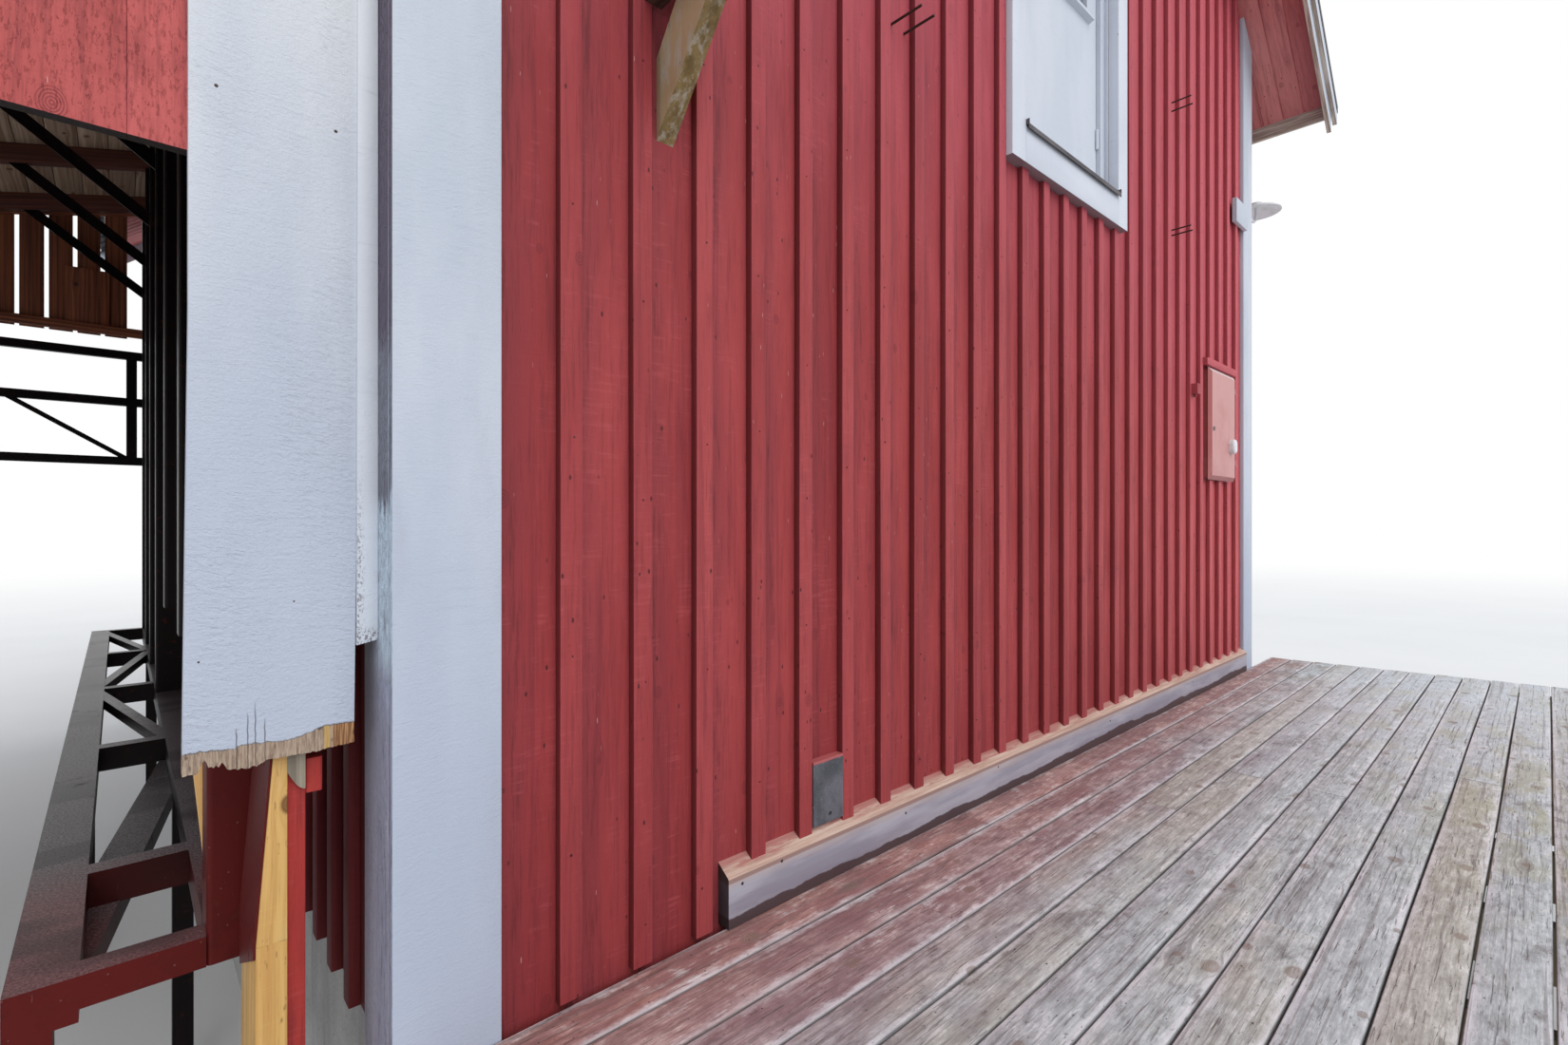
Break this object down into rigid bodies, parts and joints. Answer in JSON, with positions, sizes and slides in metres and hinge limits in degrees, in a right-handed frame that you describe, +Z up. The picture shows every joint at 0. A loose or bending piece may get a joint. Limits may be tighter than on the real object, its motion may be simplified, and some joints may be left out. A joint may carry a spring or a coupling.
{
  "type": "boathouse",
  "caption": "Red board-and-batten gabled boathouse on a concrete plinth, with a lean-to boat bay of dark steelwork, a timber deck and a hinged meter cabinet door.",
  "frame": {"origin": "on the ground under the middle of the front gable's plinth wall", "axes": "+X to the right along the front gable, +Y into the building towards the lake, +Z up"},
  "size_m": [9.129, 11.1853, 7.4087],
  "materials": {
    "concrete": "cast concrete, weathered grey",
    "red_boards": "matt red wood paint over sawn boards",
    "white_trim": "matt white wood paint, brushed",
    "grey_timber": "weathered grey timber",
    "roof_soffit": "matt red-brown painted roof boards",
    "roof_metal": "dark coated sheet metal, satin",
    "raw_timber": "sawn softwood, unpainted",
    "door_white": "smooth white paint, satin",
    "door_pane": "clear window glass",
    "dark_flashing": "dark sheet metal flashing",
    "cabinet_red": "faded pinkish red coat, satin",
    "cabinet_metal": "dull plated lock",
    "cabinet_white": "white plastic cover",
    "bracket_timber": "greenish pressure-treated timber, weathered",
    "iron": "dark forged iron",
    "plate_grey": "grey sheet",
    "bay_steel": "dark red-brown coated steel, rusted",
    "bay_timber": "dark brown stained timber",
    "bay_boards": "pale planed roof boards",
    "bay_red": "matt red paint on rough-sawn boards",
    "deck_timber": "weathered grey-brown decking",
    "deck_structure": "pressure-treated timber, weathered"
  },
  "bodies": {
    "house": {"plinth": "concrete", "front_wall": "red_boards", "back_wall": "red_boards", "left_wall": "red_boards", "right_wall": "red_boards", "gable_battens": "red_boards", "side_battens": "red_boards", "corner_boards": "white_trim", "sill_board": "grey_timber", "loft_floor": "raw_timber", "roof_deck_left": "roof_soffit", "roof_deck_right": "roof_soffit", "roof_sheets": "roof_metal", "roof_cappings": "roof_metal", "barge_boards": "white_trim", "fascia_boards": "white_trim", "door_casings": "door_white", "door_frames": "door_white", "door_leaves": "door_white", "door_glass": "door_pane", "door_thresholds": "dark_flashing", "meter_cabinet": "cabinet_red", "cabinet_header": "red_boards", "wall_socket": "red_boards", "wall_bracket": "bracket_timber", "bracket_planks": "bay_timber", "iron_pins": "iron", "patch_plate": "plate_grey", "mounting_board": "white_trim", "side_lamp": "cabinet_white", "bay_columns": "bay_steel", "bay_outer_columns": "bay_steel", "bay_knee_braces": "bay_steel", "bay_rafters": "bay_timber", "bay_roof_boards": "bay_boards", "bay_roof_sheet": "roof_metal", "bay_front_boards": "bay_red", "bay_post_boards": "white_trim", "bay_front_post": "raw_timber", "bay_slats": "bay_timber", "bay_girder": "bay_steel", "bay_ladder_frame": "bay_steel", "deck_boards": "deck_timber", "deck_frame": "deck_structure", "deck_posts": "deck_structure"},
    "door": {"cabinet_door": "cabinet_red", "cabinet_lock": "cabinet_metal", "cabinet_dome": "cabinet_white"}
  },
  "joints": [
    {"name": "cabinet_door_hinge", "type": "hinge", "parent": "house", "child": "door", "pos_m": [2.187, -0.164, 2.66], "axis": [0, 0, 1], "range_deg": [0, 110]}
  ]
}
